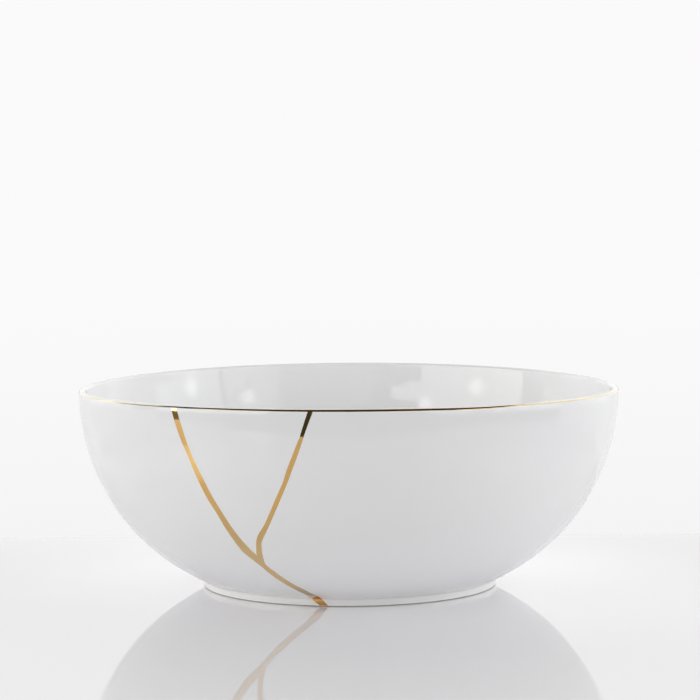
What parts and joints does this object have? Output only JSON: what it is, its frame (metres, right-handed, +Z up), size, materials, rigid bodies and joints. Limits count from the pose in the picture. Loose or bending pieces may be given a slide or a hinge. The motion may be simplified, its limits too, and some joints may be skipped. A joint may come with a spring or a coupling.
{
  "type": "salad bowl",
  "caption": "Round porcelain salad bowl with curved walls, a rounded gilt-edged lip and a low foot ring, crossed by flat gold seams like mended cracks.",
  "frame": {"origin": "centre of the foot ring's underside, on the surface that the bowl stands on", "axes": "+Z up along the bowl's axis of turning, towards the rim; -Y towards the side with the gold seams that the picture shows"},
  "size_m": [0.26, 0.26, 0.097],
  "materials": {
    "porcelain": "glossy clear glaze over white porcelain",
    "gilding": "bright painted gold, flush with the glaze"
  },
  "bodies": {
    "root": {"bowl": "porcelain"}
  },
  "joints": []
}
